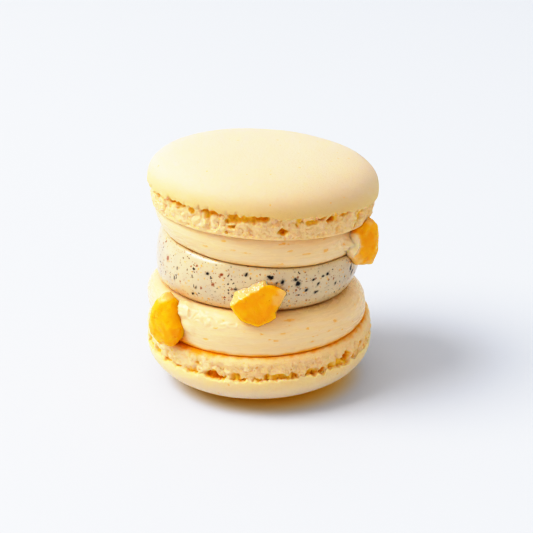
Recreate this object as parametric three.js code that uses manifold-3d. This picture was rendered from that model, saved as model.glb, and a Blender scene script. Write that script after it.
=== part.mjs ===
import * as THREE from 'three';
import { mergeVertices } from 'three/addons/utils/BufferGeometryUtils.js';
import { ImprovedNoise } from 'three/addons/math/ImprovedNoise.js';
import Module from 'manifold-3d';

// A macaron of two shells and three layers of cream, with three dice of candied peel.
// Millimetres, +Z up. Its front faces -Y, and the axis of the bottom shell is X = Y = 0.
// The bottom shell lies upside down, on a small flat spot of its dome.

// Shells: a smooth cap over a rough foot. A shell is drawn cap up, with its cream side at Z = 0.
// rimRound is the round of its cream side, and slope tilts that side against the cap. It lies
// with its cream side's middle at the given height, tilted and shifted to the right.
const CAP_RADIUS = 22.5;
const LIP_ROUND = 0.5;

const BOTTOM_SHELL = {
	name: 'shell_bottom',
	capRadius: CAP_RADIUS,
	domeHeight: 9.1,
	domePower: 2.26,
	footHeight: 5.0,
	footRadius: 22.35,
	waistRadius: 22.1,
	rimRound: 1.5,
	slope: 1.25,
	reliefSeed: 11.3,
	height: 13.67,
	tiltX: 1.25,
	tiltY: -0.36,
	shift: 0,
	turnedOver: true,
	colour: 0xecd294,
};
const TOP_SHELL = {
	name: 'shell_top',
	capRadius: CAP_RADIUS,
	domeHeight: 8.05,
	domePower: 2.79,
	footHeight: 4.6,
	footRadius: 21.45,
	waistRadius: 21.9,
	rimRound: 0.6,
	slope: 0,
	reliefSeed: 4.7,
	height: 35.4,
	tiltX: -2.28,
	tiltY: 3.5,
	shift: 0.57,
	turnedOver: false,
	colour: 0xf8e8b6,
};

// The larger hollows of each foot: degrees round the shell's own axis, millimetres above its
// cream side, half width, half height and depth.
const BOTTOM_HOLLOWS = [
	{ angle: 143, height: 4.5, across: 1.5, up: 0.5, depth: 0.7 },
	{ angle: 135, height: 4.6, across: 1.3, up: 0.5, depth: 0.8 },
	{ angle: 125, height: 4.6, across: 1.7, up: 0.5, depth: 0.8 },
	{ angle: 112, height: 4.5, across: 2.3, up: 0.7, depth: 1.5 },
	{ angle: 72, height: 4.1, across: 1.0, up: 0.6, depth: 0.8 },
	{ angle: 62, height: 4.6, across: 1.3, up: 0.5, depth: 0.9 },
	{ angle: 41, height: 3.9, across: 1.8, up: 1.1, depth: 1.4 },
	{ angle: 27, height: 3.2, across: 1.4, up: 0.6, depth: 0.8 },
];
const TOP_HOLLOWS = [
	{ angle: -138, height: 4.1, across: 2.8, up: 0.5, depth: 1.0 },
	{ angle: -116, height: 4.1, across: 1.7, up: 0.5, depth: 0.9 },
	{ angle: -91, height: 4.0, across: 2.1, up: 0.5, depth: 0.9 },
	{ angle: -80, height: 1.9, across: 1.0, up: 0.7, depth: 1.0 },
	{ angle: -54, height: 3.6, across: 1.2, up: 0.8, depth: 1.4 },
	{ angle: -45, height: 4.1, across: 1.8, up: 0.5, depth: 0.9 },
];

// Roughness of the feet: broad lumps, fine crags and the ragged lower edge of the cap.
const LUMP_WIDTH = 2.8;
const LUMP_DEPTH = 0.45;
const CRAG_WIDTH = 1.3;
const CRAG_DEPTH = 0.35;
const LIP_WAVE_WIDTH = 2.2;
const LIP_WAVE_DEPTH = 0.25;

// Seats: the four slightly tilted planes between the layers, from the bottom one up. A height
// is measured over X = Y = 0. tiltX lowers the front, and tiltY lowers the right.
const SEATS = [
	{ height: 13.67, tiltX: 2.5, tiltY: -0.36 },
	{ height: 19.54, tiltX: -1.6, tiltY: 2.4 },
	{ height: 29.73, tiltX: 2.0, tiltY: 4.3 },
	{ height: 35.43, tiltX: -2.28, tiltY: 3.5 },
];
const SEAT_GAP = 0.15;

// Creams: round bulges between two seats. low, wide and high are the radii at the lower seat,
// at the widest level and at the upper seat, wideAt is that level as a share of the height,
// and the two shifts are how far right the middle lies at each seat.
const CREAMS = [
	{
		name: 'cream_bottom', low: 20.8, wide: 21.64, high: 17.8, wideAt: 0.54,
		shiftLow: 0.04, shiftHigh: -1.0, waveSeed: 2.1, colour: 0xefd596,
	},
	{
		name: 'cream_middle', low: 15.2, wide: 20.12, high: 18.9, wideAt: 0.74,
		shiftLow: -1.0, shiftHigh: 0.76, waveSeed: 5.9, colour: 0xd9cdb4,
	},
	{
		name: 'cream_top', low: 15.7, wide: 20.1, high: 19.0, wideAt: 0.65,
		shiftLow: 0.76, shiftHigh: -0.37, waveSeed: 8.4, colour: 0xf0d9a0,
	},
];
const BULGE_POWER = 2.2;
const WAVE_WIDTH = 9;
const WAVE_DEPTH = 0.22;

// Peel: uneven dice, pressed into the creams at the rim. A die is drawn facing -Y, then leaned
// back, turned about Z and put in place. Its outline goes round from corner to corner, each
// given as degrees round the middle and a radius. squareness is how sharp its edges are. Where
// a die has a fold, a ridge at this angle and distance from the middle parts its front into
// two faces, which fall back at these slopes.
const PEELS = [
	{
		name: 'peel_left', centre: [ -17.2, -14.6, 17.7 ], depth: 4.4, squareness: 2.6,
		lean: -8, turn: -40, seed: 3.3, colour: 0xfbc010,
		outline: [
			[ 10, 3.1 ], [ 40, 3.4 ], [ 70, 4.2 ], [ 100, 5.4 ], [ 130, 4.4 ], [ 170, 4.1 ],
			[ 210, 4.5 ], [ 230, 5.0 ], [ 260, 5.4 ], [ 290, 5.3 ], [ 320, 4.5 ], [ 350, 4.1 ],
		],
	},
	{
		name: 'peel_centre', centre: [ 0, -20.2, 23.7 ], depth: 5.2, squareness: 5,
		lean: -22, turn: -6, seed: 6.1, colour: 0xf9b416,
		outline: [
			[ 20, 5.8 ], [ 50, 4.2 ], [ 60, 3.6 ], [ 80, 5.0 ], [ 100, 4.4 ], [ 130, 3.9 ],
			[ 160, 4.6 ], [ 190, 5.3 ], [ 210, 4.8 ], [ 230, 4.8 ], [ 270, 4.8 ], [ 300, 4.4 ],
			[ 320, 4.5 ], [ 330, 3.7 ], [ 340, 3.9 ],
		],
		fold: { angle: 31, distance: 1.7, slopeAbove: 0.8, slopeBelow: 0.3 },
	},
	{
		name: 'peel_right', centre: [ 18.9, -8.0, 30.9 ], depth: 4.8, squareness: 5,
		lean: 0, turn: 32, seed: 9.7, colour: 0xf8b01c,
		outline: [
			[ 10, 4.2 ], [ 40, 4.9 ], [ 60, 5.3 ], [ 80, 4.7 ], [ 110, 4.0 ], [ 140, 3.7 ],
			[ 180, 4.0 ], [ 200, 3.6 ], [ 250, 4.3 ], [ 270, 4.4 ], [ 300, 5.5 ], [ 330, 4.6 ],
		],
	},
];
const PEEL_WAVE_WIDTH = 3.2;
const PEEL_WAVE_DEPTH = 0.3;
const POCKET_GAP = 0.3;

// Roughness of the three surfaces, from dry to sticky.
const SHELL_ROUGHNESS = 0.75;
const CREAM_ROUGHNESS = 0.45;
const PEEL_ROUGHNESS = 0.35;

// How finely the round and the free forms are divided.
const SHELL_SEGMENTS = 110;
const RIM_RINGS = 2;
const FOOT_RINGS = 5;
const DOME_RINGS = 8;
const CREAM_SEGMENTS = 72;
const CREAM_RINGS = 9;
const PEEL_SEGMENTS = 36;
const PEEL_RINGS = 6;

const DEGREE = Math.PI / 180;
const noise = new ImprovedNoise();
const wasm = await Module();
wasm.setup();

function addPiece( group, name, geometry, colour, roughness ) {

	const material = new THREE.MeshStandardMaterial( { color: colour, roughness, metalness: 0 } );
	const mesh = new THREE.Mesh( geometry, material );
	mesh.name = name;
	group.add( mesh );
	return mesh;

}

// A closed solid of revolution about Z whose points are then moved by place( point ).
function turned( profile, segments, place ) {

	const geometry = new THREE.LatheGeometry( profile, segments );
	geometry.rotateX( Math.PI / 2 );
	return moved( geometry, place );

}

// The geometry with only its corner positions, each moved by place( point ) and shared.
function moved( geometry, place ) {

	geometry.deleteAttribute( 'normal' );
	geometry.deleteAttribute( 'uv' );
	const position = geometry.getAttribute( 'position' );
	const point = new THREE.Vector3();
	for ( let i = 0; i < position.count; i ++ ) {

		point.fromBufferAttribute( position, i );
		place( point );
		position.setXYZ( i, point.x, point.y, point.z );

	}

	return mergeVertices( geometry );

}

function solidOf( geometry ) {

	return new wasm.Manifold( new wasm.Mesh( {
		numProp: 3,
		vertProperties: new Float32Array( geometry.getAttribute( 'position' ).array ),
		triVerts: new Uint32Array( geometry.getIndex().array ),
	} ) );

}

function geometryOf( solid ) {

	const mesh = solid.getMesh();
	const geometry = new THREE.BufferGeometry();
	geometry.setAttribute( 'position', new THREE.BufferAttribute( mesh.vertProperties, 3 ) );
	geometry.setIndex( new THREE.BufferAttribute( mesh.triVerts, 1 ) );
	geometry.computeVertexNormals();
	return geometry;

}

// The outline from the middle of the cream side, round the foot, to the top of the dome.
function shellProfile( shell ) {

	const { capRadius, domeHeight, domePower, footHeight, footRadius, waistRadius, rimRound } = shell;
	const points = [ new THREE.Vector2( 0, 0 ) ];
	for ( let i = 0; i < RIM_RINGS; i ++ ) {

		const turn = Math.PI / 2 * i / RIM_RINGS;
		const radius = footRadius - rimRound * ( 1 - Math.sin( turn ) );
		points.push( new THREE.Vector2( radius, rimRound * ( 1 - Math.cos( turn ) ) ) );

	}

	const lipHeight = footHeight - LIP_ROUND / 2;
	for ( let i = 0; i <= FOOT_RINGS; i ++ ) {

		const share = i / FOOT_RINGS;
		const radius = THREE.MathUtils.lerp( footRadius, waistRadius, share );
		points.push( new THREE.Vector2( radius, THREE.MathUtils.lerp( rimRound, lipHeight, share ) ) );

	}

	points.push( new THREE.Vector2( capRadius - LIP_ROUND / 4, lipHeight ) );
	for ( let i = 0; i < DOME_RINGS; i ++ ) {

		const tilt = Math.PI / 2 * ( 1 - i / DOME_RINGS );
		points.push( new THREE.Vector2(
			capRadius * Math.sin( tilt ) ** ( 2 / domePower ),
			footHeight + domeHeight * Math.cos( tilt ) ** ( 2 / domePower ),
		) );

	}

	points.push( new THREE.Vector2( 0, footHeight + domeHeight ) );
	return points;

}

// How far the foot's wall is pushed in or out at a point of it.
function footRelief( point, shell, hollows ) {

	const seed = shell.reliefSeed;
	const lumps = noise.noise( point.x / LUMP_WIDTH, point.y / LUMP_WIDTH, point.z / LUMP_WIDTH + seed );
	const crags = noise.noise( point.x / CRAG_WIDTH, point.y / CRAG_WIDTH, point.z / CRAG_WIDTH - seed );
	let relief = lumps * LUMP_DEPTH + crags * CRAG_DEPTH;
	const angle = Math.atan2( point.y, point.x );
	for ( const hollow of hollows ) {

		let aside = angle - hollow.angle * DEGREE;
		aside = Math.atan2( Math.sin( aside ), Math.cos( aside ) ) * shell.footRadius / hollow.across;
		const above = ( point.z - hollow.height ) / hollow.up;
		relief -= hollow.depth * Math.exp( - aside * aside - above * above );

	}

	return relief;

}

function shellGeometry( shell, hollows ) {

	const junction = shell.footHeight - LIP_ROUND / 2;
	const slope = Math.tan( shell.slope * DEGREE );
	return turned( shellProfile( shell ), SHELL_SEGMENTS, ( point ) => {

		const { x, y, z } = point;
		const radius = Math.hypot( x, y );
		if ( z < junction - LIP_ROUND / 2 && radius > shell.footRadius - shell.rimRound / 2 ) {

			const scale = 1 + footRelief( point, shell, hollows ) / radius;
			point.x *= scale;
			point.y *= scale;

		}

		if ( Math.abs( z - junction ) < LIP_ROUND && radius > shell.footRadius - LIP_ROUND ) {

			point.z += LIP_WAVE_DEPTH * noise.noise( x / LIP_WAVE_WIDTH, y / LIP_WAVE_WIDTH, shell.reliefSeed );

		}

		point.z += slope * y * Math.max( 0, 1 - z / shell.footHeight );

	} );

}

// The height of a seat's plane over a point.
function seatHeight( seat, x, y ) {

	const fallRight = Math.tan( seat.tiltY * DEGREE );
	const fallFront = Math.tan( seat.tiltX * DEGREE ) / Math.cos( seat.tiltY * DEGREE );
	return seat.height - fallRight * x + fallFront * y;

}

// The outline of a cream, with its height as a share from 0 at the lower seat to 1.
function creamProfile( cream ) {

	const points = [ new THREE.Vector2( 0, 0 ) ];
	for ( let i = 0; i < CREAM_RINGS; i ++ ) {

		const slope = Math.PI * ( i / ( CREAM_RINGS - 1 ) - 0.5 );
		const inner = slope < 0 ? cream.low : cream.high;
		const reach = slope < 0 ? cream.wideAt : 1 - cream.wideAt;
		const bulge = Math.max( 0, Math.cos( slope ) ) ** ( 2 / BULGE_POWER );
		points.push( new THREE.Vector2(
			THREE.MathUtils.lerp( inner, cream.wide, bulge ),
			cream.wideAt + reach * Math.sin( slope ),
		) );

	}

	points.push( new THREE.Vector2( 0, 1 ) );
	return points;

}

function creamGeometry( cream, lower, upper ) {

	return turned( creamProfile( cream ), CREAM_SEGMENTS, ( point ) => {

		const share = point.z;
		const wave = WAVE_DEPTH * noise.noise( point.x / WAVE_WIDTH, point.y / WAVE_WIDTH, cream.waveSeed + share );
		const scale = 1 + wave / cream.wide;
		point.x = point.x * scale + THREE.MathUtils.lerp( cream.shiftLow, cream.shiftHigh, share );
		point.y *= scale;
		point.z = THREE.MathUtils.lerp(
			seatHeight( lower, point.x, point.y ) + SEAT_GAP,
			seatHeight( upper, point.x, point.y ) - SEAT_GAP,
			share,
		);

	} );

}

// The radius of an outline in a direction: where a ray from the middle meets its side.
function outlineRadius( outline, degrees ) {

	let after = outline.findIndex( ( corner ) => corner[ 0 ] > degrees );
	if ( after < 0 ) after = 0;
	const before = ( after + outline.length - 1 ) % outline.length;
	const [ from, near, to, far ] = [ ...outline[ before ], ...outline[ after ] ];
	const onward = Math.sin( ( degrees - from ) * DEGREE );
	const remaining = Math.sin( ( to - degrees ) * DEGREE );
	return near * far * Math.sin( ( to - from ) * DEGREE ) / ( near * onward + far * remaining );

}

// How far a die's front falls back from its ridge.
function foldBack( fold, x, z ) {

	if ( ! fold ) return 0;
	const angle = fold.angle * DEGREE;
	const above = z * Math.cos( angle ) - x * Math.sin( angle ) - fold.distance;
	return above > 0 ? above * fold.slopeAbove : - above * fold.slopeBelow;

}

// A die of peel in its place, or with a margin the pocket that it sits in.
function peelGeometry( peel, margin ) {

	const attitude = new THREE.Euler( peel.lean * DEGREE, 0, peel.turn * DEGREE, 'ZXY' );
	const centre = new THREE.Vector3( ...peel.centre );
	const profile = [];
	for ( let i = 0; i <= PEEL_RINGS; i ++ ) {

		const tilt = Math.PI * ( 0.5 - i / PEEL_RINGS );
		const edge = Math.max( 0, Math.cos( tilt ) ) ** ( 2 / peel.squareness );
		const level = Math.abs( Math.sin( tilt ) ) ** ( 2 / peel.squareness );
		profile.push( new THREE.Vector2( i % PEEL_RINGS ? edge : 0, - Math.sign( tilt ) * level ) );

	}

	const geometry = new THREE.LatheGeometry( profile, PEEL_SEGMENTS );
	return moved( geometry, ( point ) => {

		const degrees = ( Math.atan2( point.z, point.x ) / DEGREE + 360 ) % 360;
		const reach = outlineRadius( peel.outline, degrees );
		const x = point.x * reach;
		const z = point.z * reach;
		const wave = PEEL_WAVE_DEPTH * noise.noise( x / PEEL_WAVE_WIDTH + peel.seed, point.y, z / PEEL_WAVE_WIDTH );
		const back = foldBack( peel.fold, x, z ) * Math.max( 0, - point.y );
		const wider = 1 + margin / reach;
		point.set( x * wider, point.y * ( peel.depth / 2 + margin + wave ) + back, z * wider );
		point.applyEuler( attitude ).add( centre );

	} );

}

// The piece at its place, less a pocket for each die of peel that touches it.
function pocketed( solid, peels ) {

	return peels.reduce( ( rest, peel ) => rest.subtract( solidOf( peelGeometry( peel, POCKET_GAP ) ) ), solid );

}

// A shell where it lies, cap up or turned over. Its pockets and its flat spot are cut there,
// and the geometry is then taken back to the shell's own frame.
function addShell( group, shell, hollows ) {

	const mesh = addPiece( group, shell.name, shellGeometry( shell, hollows ), shell.colour, SHELL_ROUGHNESS );
	const turnOver = shell.turnedOver ? Math.PI : 0;
	mesh.rotation.set( shell.tiltX * DEGREE + turnOver, shell.tiltY * DEGREE, 0, 'YXZ' );
	mesh.position.set( shell.shift, 0, shell.height );
	mesh.updateMatrix();
	mesh.geometry.applyMatrix4( mesh.matrix );
	const cut = pocketed( solidOf( mesh.geometry ), PEELS ).trimByPlane( [ 0, 0, 1 ], 0 );
	mesh.geometry = geometryOf( cut ).applyMatrix4( mesh.matrix.clone().invert() );

}

const macaron = new THREE.Group();
macaron.name = 'macaron';

addShell( macaron, BOTTOM_SHELL, BOTTOM_HOLLOWS );
CREAMS.forEach( ( cream, i ) => {

	const whole = solidOf( creamGeometry( cream, SEATS[ i ], SEATS[ i + 1 ] ) );
	addPiece( macaron, cream.name, geometryOf( pocketed( whole, PEELS ) ), cream.colour, CREAM_ROUGHNESS );

} );
addShell( macaron, TOP_SHELL, TOP_HOLLOWS );
for ( const peel of PEELS ) {

	addPiece( macaron, peel.name, peelGeometry( peel, 0 ), peel.colour, PEEL_ROUGHNESS );

}

export default macaron;
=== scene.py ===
"""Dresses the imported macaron: fine skins and materials for its pieces, and a studio."""

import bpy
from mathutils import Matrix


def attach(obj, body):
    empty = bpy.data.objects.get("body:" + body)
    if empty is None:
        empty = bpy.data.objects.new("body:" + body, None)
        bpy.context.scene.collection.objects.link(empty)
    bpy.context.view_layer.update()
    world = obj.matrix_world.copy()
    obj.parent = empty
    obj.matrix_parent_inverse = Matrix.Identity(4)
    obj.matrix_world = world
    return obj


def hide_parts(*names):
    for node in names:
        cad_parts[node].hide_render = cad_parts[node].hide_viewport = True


bl_info = {
    "name": "Macaron",
    "version": (1, 0, 0),
    "blender": (4, 5, 0),
    "location": "3D View > Sidebar > Macaron",
    "description": "Builds a macaron with two creams, a speckled cream and candied peel",
    "category": "Add Mesh",
}

import math

import bmesh
import bpy
from bpy.props import FloatProperty, FloatVectorProperty, PointerProperty
from mathutils import Euler, Matrix, Vector, noise

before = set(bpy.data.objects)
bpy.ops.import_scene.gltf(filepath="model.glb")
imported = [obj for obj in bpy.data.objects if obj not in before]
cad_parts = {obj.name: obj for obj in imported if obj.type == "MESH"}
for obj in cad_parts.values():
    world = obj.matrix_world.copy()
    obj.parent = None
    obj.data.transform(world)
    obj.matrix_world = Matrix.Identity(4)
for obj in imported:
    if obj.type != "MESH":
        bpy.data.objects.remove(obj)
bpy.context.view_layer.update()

MM = 0.001

# The shells, in millimetres and degrees. A shell is drawn cap up, with its cream side at Z = 0.
# The value of the cap's lip band is how strongly the cap near its lip is painted: painted shade on
# the top shell, painted light on the bottom shell.
SHELLS = {
    "shell_bottom": {
        "dome_power": 2.26, "foot_radius": 22.3, "waist_radius": 22.1, "rim_round": 1.5,
        "slope": 1.25, "seed": 11.3, "painted_lip_shading": 0.9, "calm": 2.8, "height": 13.67,
        "tilt": (1.25, -0.36), "shift": 0.0, "turned_over": True,
    },
    "shell_top": {
        "dome_power": 2.79, "foot_radius": 21.4, "waist_radius": 21.85, "rim_round": 0.6,
        "slope": 0.0, "seed": 4.7, "painted_lip_shading": 1.0, "calm": 0.9, "height": 35.4,
        "tilt": (-2.28, 3.5), "shift": 0.57, "turned_over": False,
    },
}

# The larger hollows of each foot: degrees round the shell's own axis, millimetres above its
# cream side, half width, half height and depth.
HOLLOWS = {
    "shell_bottom": [
        (143, 4.4, 1.3, 0.45, 0.7), (135, 4.6, 1.0, 0.4, 0.8), (125, 4.5, 1.4, 0.45, 0.8),
        (121, 2.6, 0.8, 0.7, 0.6), (112, 4.4, 2.4, 0.6, 1.5), (98, 4.6, 0.9, 0.35, 0.8),
        (90, 4.5, 1.1, 0.35, 0.8), (76, 4.4, 1.0, 0.4, 0.8), (72, 4.2, 0.9, 0.4, 0.9),
        (62, 4.5, 0.7, 0.45, 1.4), (57, 4.3, 0.8, 0.4, 1.2), (41, 3.6, 1.4, 1.0, 1.5),
        (34, 4.2, 0.8, 0.4, 0.9), (27, 3.0, 1.1, 0.6, 0.8),
    ],
    "shell_top": [
        (-150, 4.0, 1.0, 0.4, 0.7), (-138, 4.0, 2.7, 0.45, 1.1), (-127, 3.7, 0.9, 0.5, 0.8),
        (-116, 4.0, 1.8, 0.5, 1.0), (-107, 3.2, 0.6, 0.5, 0.9), (-105, 2.1, 0.8, 0.4, 0.8),
        (-103, 4.0, 0.7, 0.4, 0.9), (-91, 3.9, 2.1, 0.45, 1.1), (-80, 1.8, 0.9, 0.6, 1.2),
        (-66, 3.3, 1.2, 0.5, 0.7), (-60, 3.9, 0.8, 0.4, 0.9), (-54, 3.5, 1.0, 0.7, 1.7),
        (-46, 4.0, 1.5, 0.4, 0.9), (-32, 3.0, 0.9, 1.1, 0.7),
    ],
}

# The planes between the layers: the height over X = Y = 0, then the tilts in degrees that
# lower the front and the right. The two between the creams lie 0.7 and 1 mm above those of the
# solids, because the creams close on each other at their rims.
SEATS = [(13.67, 2.5, -0.36), (20.24, -1.6, 2.4), (30.73, 2.0, 4.3), (35.43, -2.28, 3.5)]

# The creams: radii at the lower seat, the widest level and the upper seat, that level as a
# share of the height, and how far right the middle lies at each seat. Zest and dark marks are
# the larger flecks: degrees round, share of the height, half width and half height. A ruffle is
# a crumpled patch: degrees, share, half width in degrees, half height as a share, and depth. A
# lip is cream squeezed outwards: degrees, share, half width, half height and how far out. The
# seam value says how strongly the cream is painted syrup orange where it curves under and
# closes on the layer below: painted crevice shade. Syrup is a patch of syrup low on the side:
# degrees, half width in degrees, and how high it reaches as a share.
CREAMS = {
    "cream_bottom": {
        "radii": (20.8, 21.64, 18.4), "wide_at": 0.49, "shifts": (0.04, -1.0), "seed": 2.1,
        "painted_crevice_shade": 1.0,
        "zest": [
            (-45, 0.65, 0.32, 0.25), (-76, 0.6, 0.6, 0.12), (-80, 0.44, 0.5, 0.12),
            (-83, 0.47, 0.35, 0.1), (-61, 0.27, 0.4, 0.12), (-50, 0.44, 0.6, 0.1),
            (-71, 0.88, 1.2, 0.15), (-106, 0.85, 0.18, 0.15),
        ],
        "dark": [],
        "ruffles": [
            (-124, 0.82, 15, 0.14, 0.3), (-112, 0.73, 8, 0.1, 0.2), (-100, 0.77, 8, 0.06, 0.2),
            (-14, 0.64, 14, 0.4, 0.08),
        ],
        "lips": [(-131, 0.84, 2.2, 1.2, 0.6), (-127, 0.55, 1.6, 1.3, 0.4)],
        "syrup": (-135, 9, 0.45),
    },
    "cream_middle": {
        "radii": (17.3, 20.12, 18.9), "wide_at": 0.68, "shifts": (-1.0, 0.76), "seed": 5.9,
        "painted_crevice_shade": 0.35,
        "zest": [(-115, 0.54, 0.25, 0.25), (-111, 0.78, 0.28, 0.2), (-150, 0.68, 0.4, 0.5)],
        "dark": [
            (-85, 0.84, 0.55, 0.32), (-78, 0.75, 0.35, 0.4), (-71, 0.78, 0.4, 0.3),
            (-69, 0.69, 0.45, 0.45), (-63, 0.52, 0.32, 0.25), (-56, 0.42, 0.42, 0.22),
            (-56, 0.61, 0.27, 0.25), (-60, 0.74, 0.22, 0.2), (-51, 0.8, 0.28, 0.25),
            (-54, 0.77, 0.22, 0.2), (-81, 0.72, 0.25, 0.22), (-31, 0.74, 0.3, 0.55),
            (-28, 0.6, 0.25, 0.5), (-43, 0.52, 0.2, 0.25), (-119, 0.74, 0.3, 0.25),
            (-98, 0.86, 0.3, 0.25), (-140, 0.62, 0.22, 0.2), (-142, 0.39, 0.22, 0.45),
            (-127, 0.22, 0.3, 0.2), (-102, 0.53, 0.3, 0.2), (-125, 0.38, 0.2, 0.2),
        ],
        "ruffles": [(-34, 0.6, 12, 0.3, 0.1)],
        "lips": [],
        "syrup": (0, 0, 0.0),
    },
    "cream_top": {
        "radii": (18.5, 20.1, 19.0), "wide_at": 0.62, "shifts": (0.76, -0.37), "seed": 8.4,
        "painted_crevice_shade": 0.4,
        "zest": [
            (-52, 0.48, 0.5, 0.3), (-76, 0.84, 0.4, 0.15), (-64, 0.48, 0.8, 0.12),
            (-108, 0.79, 0.4, 0.15), (-97, 0.5, 0.6, 0.1), (-38, 0.52, 0.2, 0.15),
        ],
        "dark": [],
        "ruffles": [(-40, 0.54, 8, 0.3, 0.15)],
        "lips": [(-34, 0.42, 1.2, 1.0, 0.6), (-30, 0.56, 1.5, 1.4, 1.0)],
        "syrup": (0, 0, 0.0),
    },
}
BULGE_POWER = 2.2

# The dice of peel, each drawn facing -Y, then leaned back, turned about Z and put in place. An
# outline goes round from corner to corner: degrees round the middle, and a radius. A fold is a
# ridge at an angle and distance from the middle, and the slopes at which the front falls back
# above and below it. Pale spots are pith or thin flesh: place across and up, reach, strength.
# Smears are cream on the front: place, half width, half height and how far it stands out.
PEELS = {
    "peel_left": {
        "centre": (-17.2, -14.6, 17.7), "depth": 4.4, "power": 2.6, "lean": -8, "turn": -40,
        "seed": 3.3,
        "outline": [
            (10, 3.1), (40, 3.4), (70, 4.2), (100, 5.4), (130, 4.4), (170, 4.1),
            (210, 4.5), (230, 5.0), (260, 5.4), (290, 5.3), (320, 4.5), (350, 4.1),
        ],
        "fold": (0, 0.0, 0.0, 0.0),
        "pale": [(-0.8, 5.3, 1.9, 0.8), (-4.2, -2.5, 0.8, 0.5), (-3.2, 2.9, 0.8, 0.4)],
        "smears": [],
    },
    "peel_centre": {
        "centre": (0.0, -20.02, 23.7), "depth": 5.2, "power": 5, "lean": -22, "turn": -6,
        "seed": 6.1,
        "outline": [
            (20, 5.8), (50, 4.2), (60, 3.6), (80, 5.0), (100, 4.4), (130, 3.9), (160, 4.6),
            (190, 5.3), (210, 4.8), (230, 4.8), (270, 4.8), (300, 4.4), (320, 4.5),
            (330, 3.7), (340, 3.9),
        ],
        "fold": (31, 1.7, 0.8, 0.3),
        "pale": [(5.4, 1.2, 2.0, 0.8), (3.9, 0.4, 1.3, 0.6)],
        "smears": [],
    },
    "peel_right": {
        "centre": (18.9, -8.0, 30.9), "depth": 4.8, "power": 5, "lean": 0, "turn": 32,
        "seed": 9.7,
        "outline": [
            (10, 4.2), (40, 4.9), (60, 5.3), (80, 4.7), (110, 4.0), (140, 3.7),
            (180, 4.0), (200, 3.6), (250, 4.3), (270, 4.4), (300, 5.5), (330, 4.6),
        ],
        "fold": (0, 0.0, 0.0, 0.0),
        "pale": [(1.2, 5.2, 1.3, 0.7), (1.5, -5.2, 2.0, 0.7), (-2.5, -3.6, 2.4, 0.8)],
        "smears": [(-3.0, 0.6, 1.9, 2.3, 0.5)],
    },
}

# Where syrup has run onto the lower shell, in degrees round that shell's own axis.
SYRUP_ANGLE = 128

# Surfaces, in millimetres. The lip is the cap's edge, a little below the top of the foot, with a
# narrow ledge under it. Lumps, crags, pores and pits are the sizes of a foot's relief.
LIP_DROP = 0.4
LEDGE = 0.12
LIP_MIDDLE = 0.15
LIP_REACH = 1.2
LUMP_WIDTH = 2.6
LUMP_HEIGHT = 3.4
CRAG_SIZE = 1.1
PORE_CELL = 1.3
PIT_CELL = 0.55
PORE_SPREAD = 0.4
# The radius to which the lower shell's rim is painted orange next to the cream, as painted crevice
# shade.
CREVICE_SHADE_REACH = 21.95
SYRUP_WIDTH = 26

# Blender draws the offsets of its noise vector by chance, so they get a seed of their own.
WARP_SEED = 7

# Sizes of the waves of the caps, the creams' sides and the peel, and of the creams' flecks.
CAP_WAVE = 7
CAP_RIPPLE = 2.2
CAP_INSET = 0.06
CREAM_WAVE = 9
CREAM_RIPPLE = 3.5
PEEL_WAVE = 3.2
PEEL_DENT = 1.2
SUGAR_GRAIN = 0.28
FLECK_LENGTH = 2.2
FLECK_WIDTH = 0.75

# The studio. A round of floor is painted warm, with a faint glow of its own, as painted light
# for light coming through and off the shell; both fade from the round's inner to its outer edge.
# The film response pairs linear light with how bright it is shown.
FLOOR_SIZE = 4.0
LOOK_AT = Vector((1.53, 0.0, 22.6)) * MM
FOCAL_LENGTH = 102.3
KEY_PLACE = (-1.0, -0.23, 1.25)
KEY_SIZE = 1.1
TOP_PLACE = (-0.5, 0.2, 1.4)
TOP_SIZE = 1.6
SKY_COLOUR = (1.0, 0.99, 0.97, 1.0)
PAINTED_GLOW_MIDDLE = (1.5 * MM, -0.5 * MM, 0.0)
PAINTED_GLOW_EDGES = (20.5 * MM, 12 * MM)
PAINTED_GLOW_LIGHT = (0.06, 0.045, 0.0)
FILM_RESPONSE = [
    (0.0, 0.0), (0.05, 0.005), (0.12, 0.03), (0.22, 0.098), (0.35, 0.222), (0.5, 0.395),
    (0.68, 0.632), (0.88, 0.86), (1.05, 0.953), (1.3, 0.988), (1.8, 1.0),
]

# How finely the skins are divided.
RING_CUTS = 7
SHELL_SEGMENTS = 800
RIM_RINGS = 6
FOOT_RINGS = 26
DOME_RINGS = 26
CREAM_SEGMENTS = 720
CREAM_RINGS = 64
PEEL_SEGMENTS = 360
PEEL_RINGS = 90


def number_property(name, description, value, unit="NONE"):
    return FloatProperty(name=name, description=description, default=value, unit=unit)


def length_property(name, description, millimetres):
    return number_property(name, description, millimetres * MM, "LENGTH")


def colour_property(name, description, colour):
    return FloatVectorProperty(
        name=name, description=description, default=colour, subtype="COLOR", min=0.0, max=1.0)


class MacaronSizes(bpy.types.PropertyGroup):
    """Sizes of the shells, the creams and their surfaces."""

    cap_radius: length_property("Cap radius", "Radius of both shells at the edge of the cap", 22.5)
    bottom_dome: length_property("Bottom dome", "Height of the bottom shell's dome", 9.1)
    top_dome: length_property("Top dome", "Height of the top shell's dome", 8.05)
    bottom_foot: length_property("Bottom foot", "Height of the bottom shell's foot", 5.0)
    top_foot: length_property("Top foot", "Height of the top shell's foot", 4.6)
    lump_depth: length_property("Lump depth", "Depth of the creases between a foot's lumps", 0.42)
    crag_depth: length_property("Crag depth", "Depth of the fine crags of a foot", 0.27)
    pore_depth: length_property("Pore depth", "Depth of the pores of a foot", 0.5)
    cream_wave: length_property("Cream wave", "How far the creams' sides swell in and out", 0.2)
    cream_drag: length_property("Cream drag", "Depth of the drag marks round the creams", 0.035)
    peel_wave: length_property("Peel wave", "Unevenness of the dice of peel", 0.35)


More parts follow.
